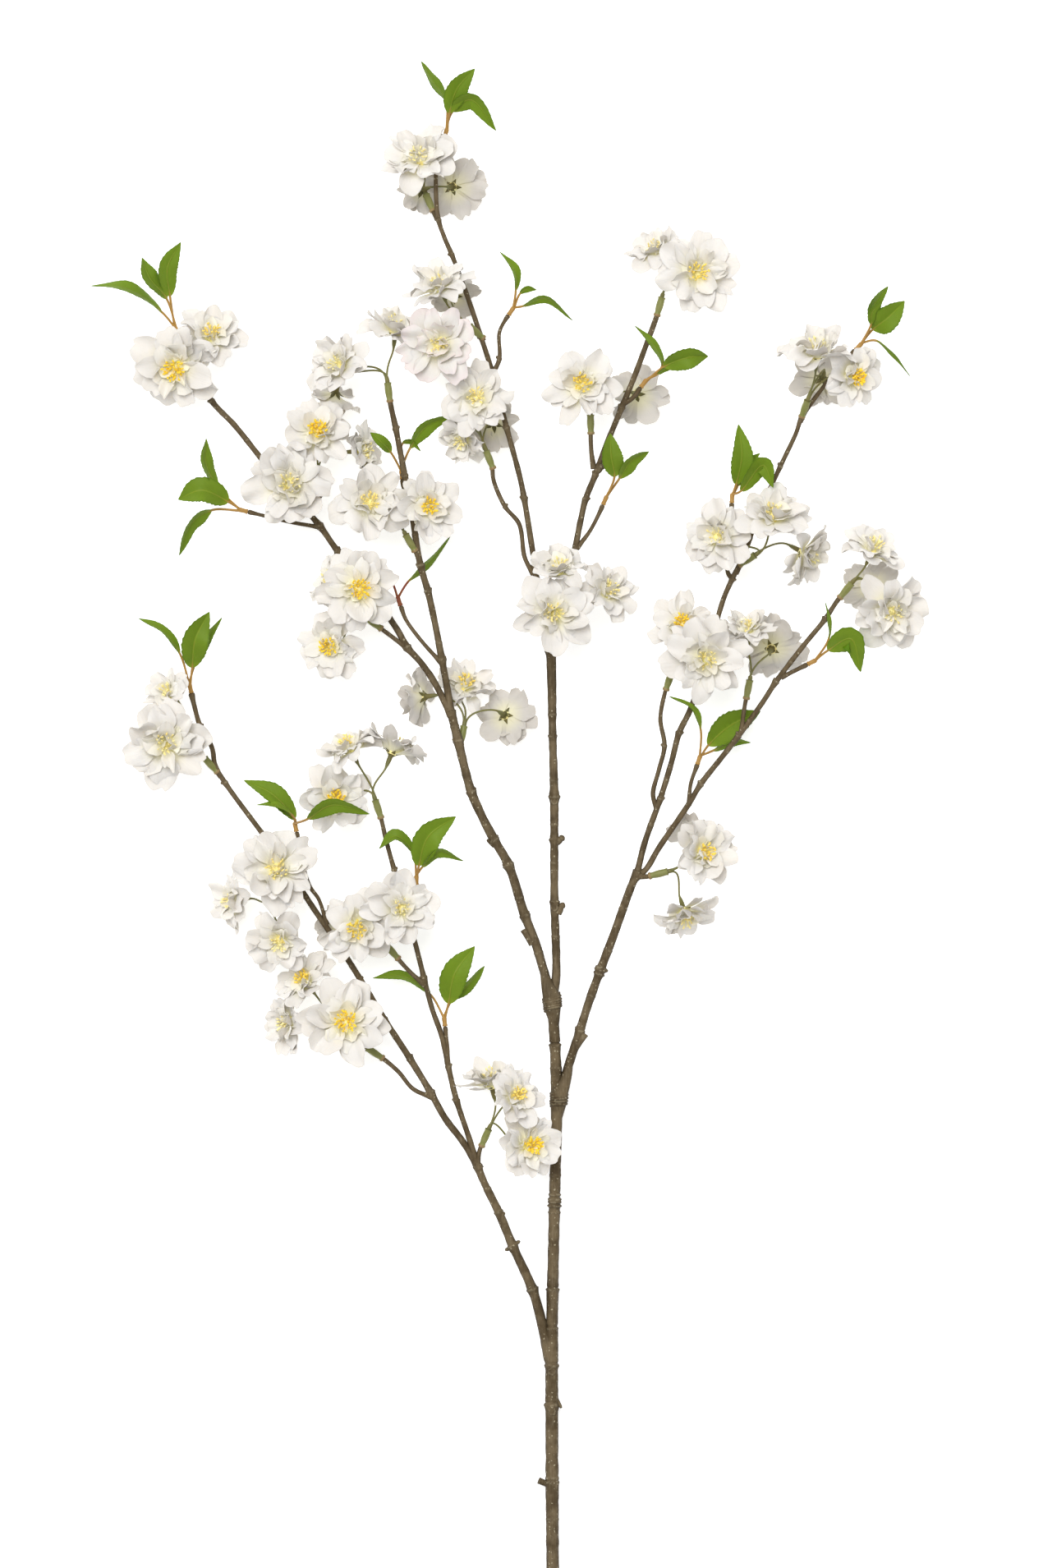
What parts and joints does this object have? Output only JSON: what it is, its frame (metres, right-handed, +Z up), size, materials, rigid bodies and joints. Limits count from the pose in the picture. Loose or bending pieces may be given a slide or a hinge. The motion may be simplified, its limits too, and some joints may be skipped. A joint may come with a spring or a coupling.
{
  "type": "cherry blossom branch",
  "caption": "Forked cherry blossom spray lying down: a straight main stem with side branches, double white blooms in clusters and small green leaf sprigs.",
  "frame": {"origin": "on the surface that the spray lies on, below the middle of its box", "axes": "+X to the right, +Y from the cut end of the main stem towards the top leaves, +Z up from the surface"},
  "size_m": [0.6152, 1.1324, 0.1014],
  "materials": {
    "bark": "moulded bark, grey-brown with pale flecks, matt",
    "socket": "olive green moulded plastic, matt",
    "petal": "thin white cloth, faint yellow-green towards the middle",
    "calyx": "yellow-green to olive moulded plastic, satin",
    "stamen": "pale yellow threads with golden tips",
    "leaf": "printed green cloth with pale veins",
    "petiole": "amber moulded plastic, satin"
  },
  "bodies": {
    "root": {"main_stem": "bark", "lower_left_branch": "bark", "upper_left_branch": "bark", "right_branch": "bark", "blossom_spray_01": "petal", "blossom_spray_02": "petal", "blossom_spray_03": "petal", "blossom_spray_04": "petal", "blossom_spray_05": "petal", "blossom_spray_06": "petal", "blossom_spray_07": "petal", "blossom_spray_08": "petal", "blossom_spray_09": "petal", "blossom_spray_10": "petal", "blossom_spray_11": "petal", "blossom_spray_12": "petal", "blossom_spray_13": "petal", "blossom_spray_14": "petal", "blossom_spray_15": "petal", "blossom_spray_16": "petal", "blossom_spray_17": "petal", "blossom_spray_18": "petal", "blossom_spray_19": "petal", "blossom_spray_20": "petal", "blossom_spray_21": "petal", "blossom_spray_22": "petal", "blossom_spray_23": "petal", "blossom_spray_24": "petal", "leaf_sprig_01": "leaf", "leaf_sprig_02": "leaf", "leaf_sprig_03": "leaf", "leaf_sprig_04": "leaf", "leaf_sprig_05": "leaf", "leaf_sprig_06": "leaf", "leaf_sprig_07": "leaf", "leaf_sprig_08": "leaf", "leaf_sprig_09": "leaf", "leaf_sprig_10": "leaf", "leaf_sprig_11": "leaf", "leaf_sprig_12": "leaf", "leaf_sprig_13": "leaf", "leaf_sprig_14": "leaf", "leaf_sprig_15": "leaf", "leaf_sprig_16": "leaf"}
  },
  "joints": []
}
